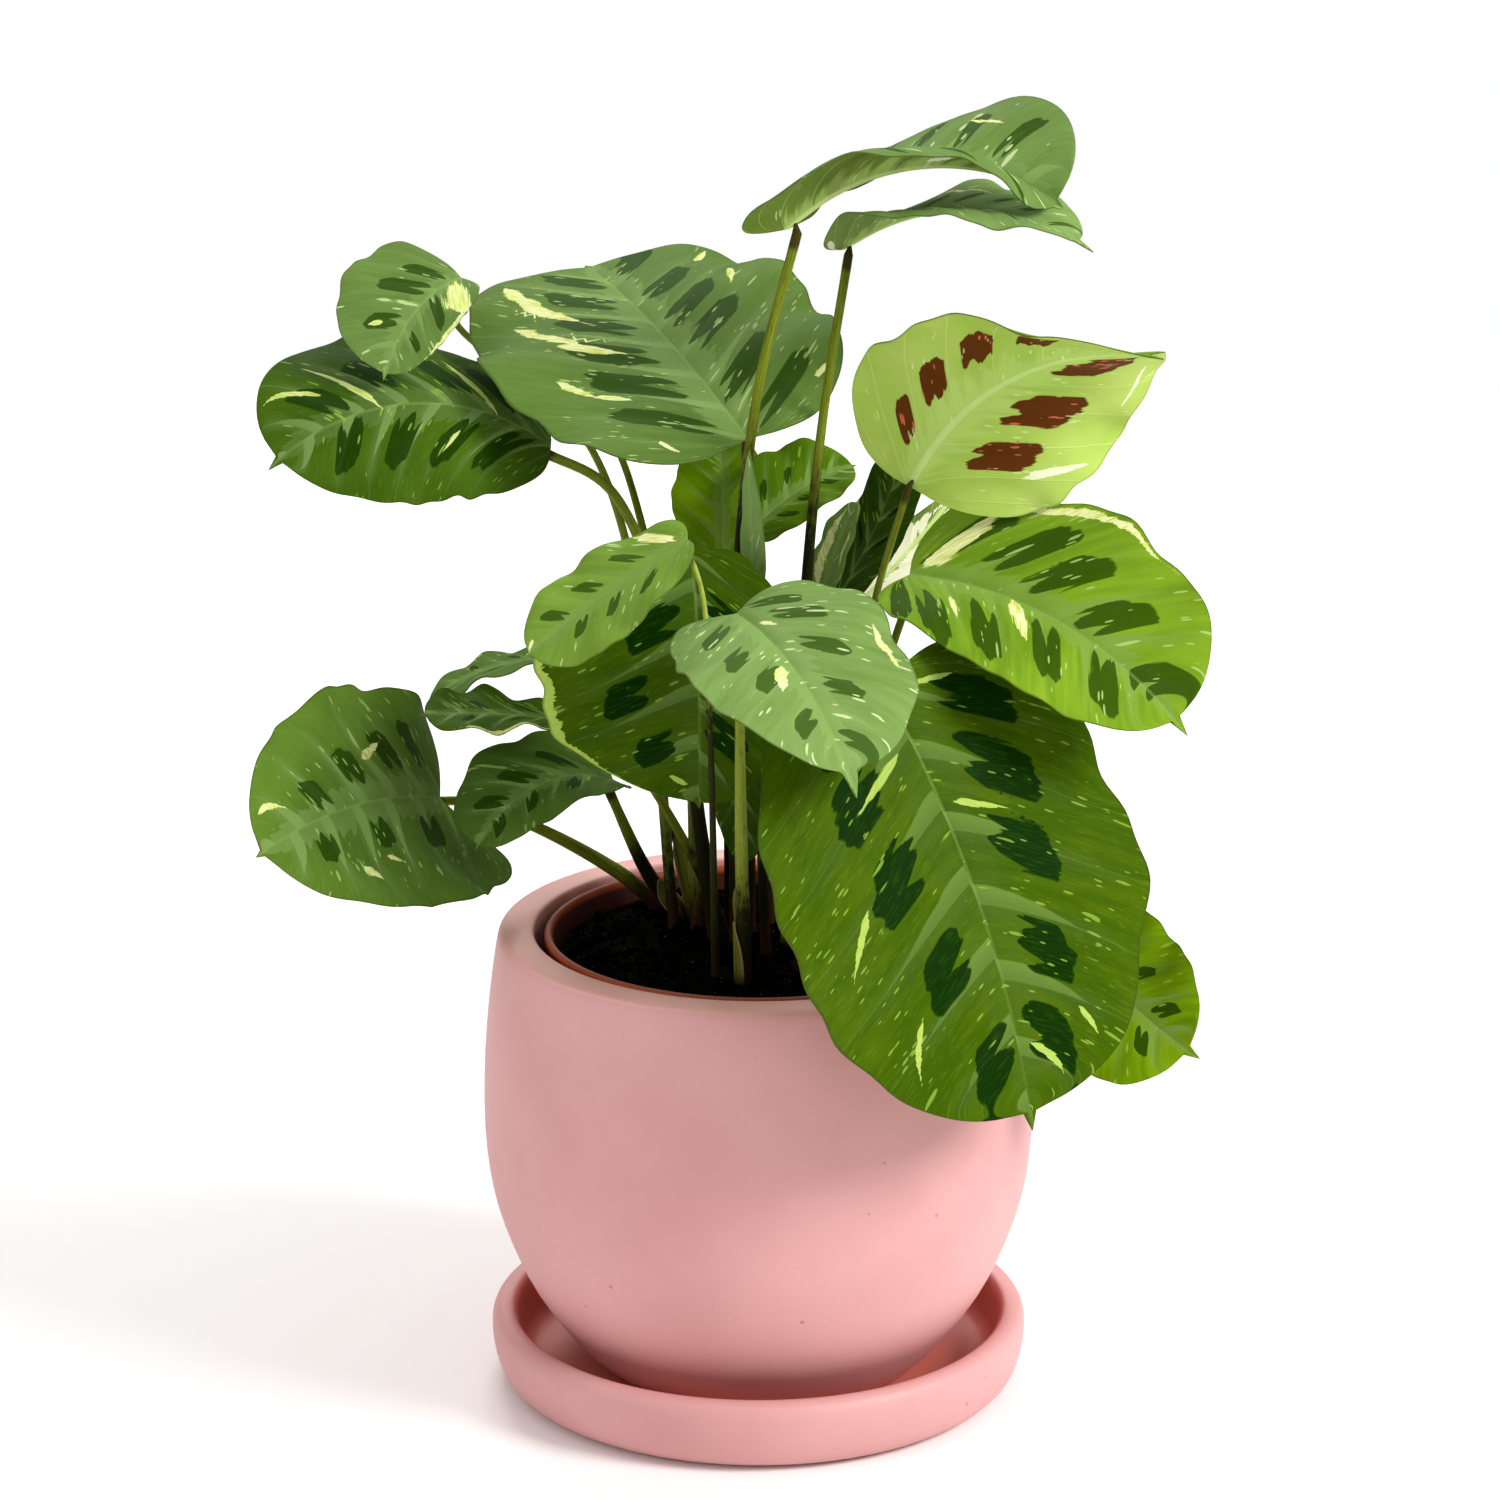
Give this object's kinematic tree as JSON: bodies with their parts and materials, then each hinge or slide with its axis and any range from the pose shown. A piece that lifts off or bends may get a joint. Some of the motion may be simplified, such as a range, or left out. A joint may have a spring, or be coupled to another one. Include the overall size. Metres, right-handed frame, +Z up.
{
  "type": "potted prayer plant",
  "caption": "Prayer plant with broad patterned oval leaves on slender stalks, in a nursery pot inside a bellied pink pot on a round saucer.",
  "frame": {"origin": "centre of the saucer underside, on the surface that the plant stands on", "axes": "+Z up; the picture looks along +Y, with +X to its right"},
  "size_m": [0.2583, 0.2544, 0.3628],
  "materials": {
    "pot_pink": "matte pink earthenware with fine pits",
    "nursery_orange": "thin terracotta-orange plastic",
    "soil_dark": "damp near-black potting soil",
    "leaf_green": "mid green leaf with dark paired blotches, pale veins and cream streaks",
    "leaf_underside": "yellow-green underside with maroon blotches",
    "stalk": "olive stalk, brown towards the foot"
  },
  "bodies": {
    "root": {"saucer": "pot_pink", "outer_pot": "pot_pink", "nursery_pot": "nursery_orange", "soil": "soil_dark", "blade_upper_left": "leaf_green", "stalk_upper_left": "stalk", "blade_left_broad": "leaf_green", "stalk_left_broad": "stalk", "blade_crown_broad": "leaf_green", "stalk_crown_broad": "stalk", "blade_top_twisted": "leaf_green", "stalk_top_twisted": "stalk", "blade_top_narrow": "leaf_green", "stalk_top_narrow": "stalk", "blade_raised_light": "leaf_underside", "stalk_raised_light": "stalk", "blade_right_round": "leaf_green", "stalk_right_round": "stalk", "blade_front_hanging": "leaf_green", "stalk_front_hanging": "stalk", "blade_centre_pale": "leaf_green", "stalk_centre_pale": "stalk", "blade_young_folded": "leaf_green", "stalk_young_folded": "stalk", "blade_dark_hanging": "leaf_green", "stalk_dark_hanging": "stalk", "blade_far_left": "leaf_green", "stalk_far_left": "stalk", "blade_left_low": "leaf_green", "stalk_left_low": "stalk", "blade_left_lower_edge": "leaf_green", "stalk_left_lower_edge": "stalk", "blade_left_upper_edge": "leaf_green", "stalk_left_upper_edge": "stalk", "blade_right_low": "leaf_green", "stalk_right_low": "stalk", "blade_inner_spotted": "leaf_green", "stalk_inner_spotted": "stalk", "blade_inner_upright": "leaf_green", "stalk_inner_upright": "stalk", "blade_inner_striped": "leaf_green", "stalk_inner_striped": "stalk", "blade_inner_dark": "leaf_green", "stalk_inner_dark": "stalk", "blade_inner_white": "leaf_green", "stalk_inner_white": "stalk", "blade_new_rolled": "leaf_green", "stalk_new_rolled": "stalk", "blade_inner_drooping": "leaf_green", "stalk_inner_drooping": "stalk", "blade_back_hidden": "leaf_green", "stalk_back_hidden": "stalk"}
  },
  "joints": []
}
